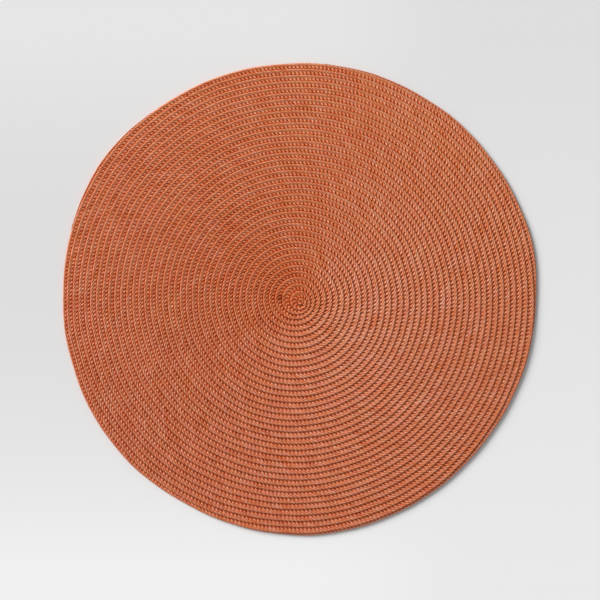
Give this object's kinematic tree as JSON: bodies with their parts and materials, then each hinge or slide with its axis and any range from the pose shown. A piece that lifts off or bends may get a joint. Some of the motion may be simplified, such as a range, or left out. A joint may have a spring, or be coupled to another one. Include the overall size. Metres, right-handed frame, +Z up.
{
  "type": "round braided fabric placemat",
  "caption": "Round table placemat: one long braided cotton cord coiled flat and sewn row to row, in plain burnt orange, lying flat.",
  "frame": {"origin": "middle of the box around the outline, on the flat underside, which is the table's surface", "axes": "+Z up out of the table through the ribbed top; +X towards the right of the picture and +Y towards its top, seen from above; the rows of the coil travel outward clockwise seen from +Z"},
  "size_m": [0.3808, 0.3794, 0.004],
  "materials": {
    "cotton": "matte burnt orange braided cotton cord"
  },
  "bodies": {
    "root": {"coiled_mat": "cotton"}
  },
  "joints": []
}
